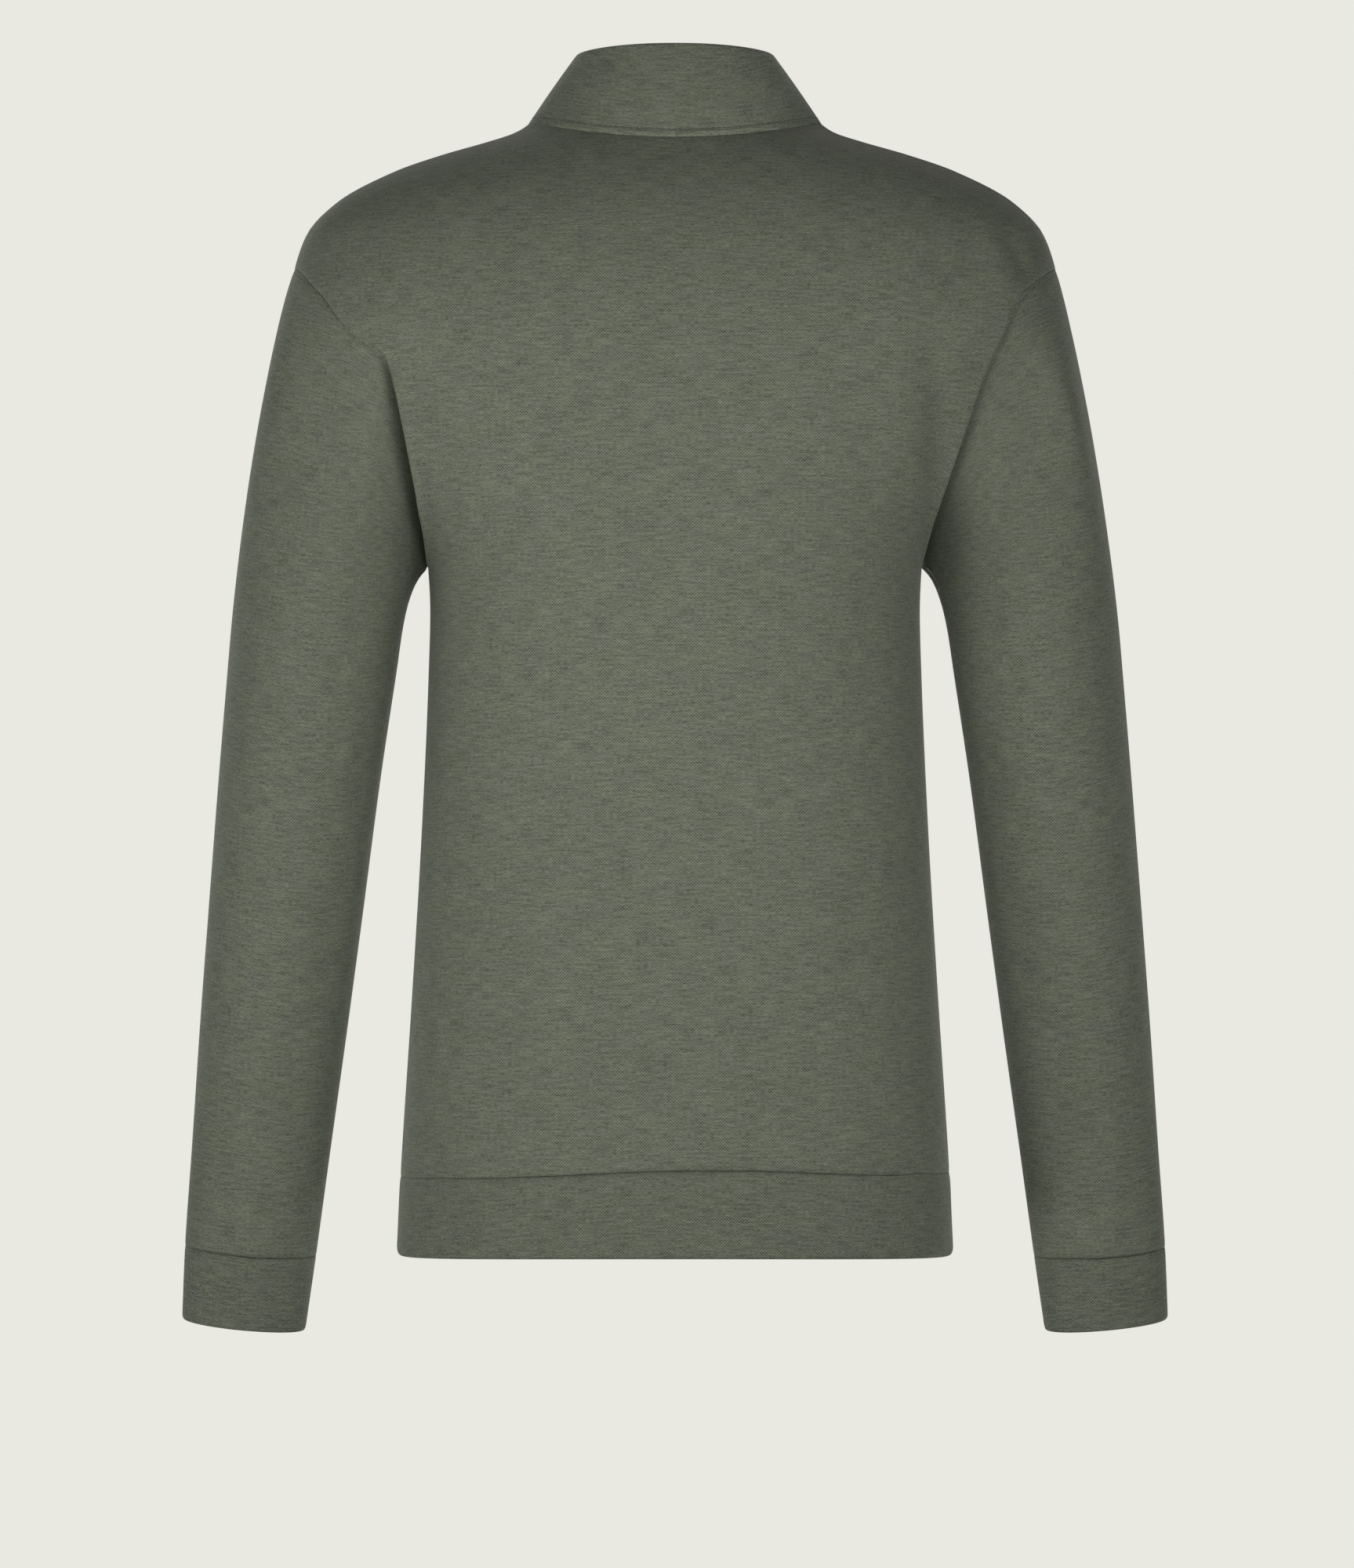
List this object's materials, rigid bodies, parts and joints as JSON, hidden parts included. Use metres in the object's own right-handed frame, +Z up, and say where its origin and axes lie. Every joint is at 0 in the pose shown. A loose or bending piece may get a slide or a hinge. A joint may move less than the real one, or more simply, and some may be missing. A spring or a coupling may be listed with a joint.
{
  "type": "stand-collar sweatshirt",
  "caption": "Plain long-sleeved knit sweatshirt with a stand collar, doubled cuffs and hem band, filled out as if worn.",
  "frame": {"origin": "middle of the neck opening, level with the side of the neck seam", "axes": "+Z up towards the top of the collar, +X to the wearer's right, +Y to the wearer's front; the pictured back faces -Y"},
  "size_m": [0.6194, 0.263, 0.8041],
  "materials": {
    "main_knit": "soft melange knit, olive grey",
    "trim_knit": "doubled melange knit, olive grey"
  },
  "bodies": {
    "root": {"back_panel": "main_knit", "front_panel": "main_knit", "sleeve_left": "main_knit", "sleeve_right": "main_knit", "cuff_left": "trim_knit", "cuff_right": "trim_knit", "hem_band": "trim_knit", "collar": "trim_knit"}
  },
  "joints": []
}
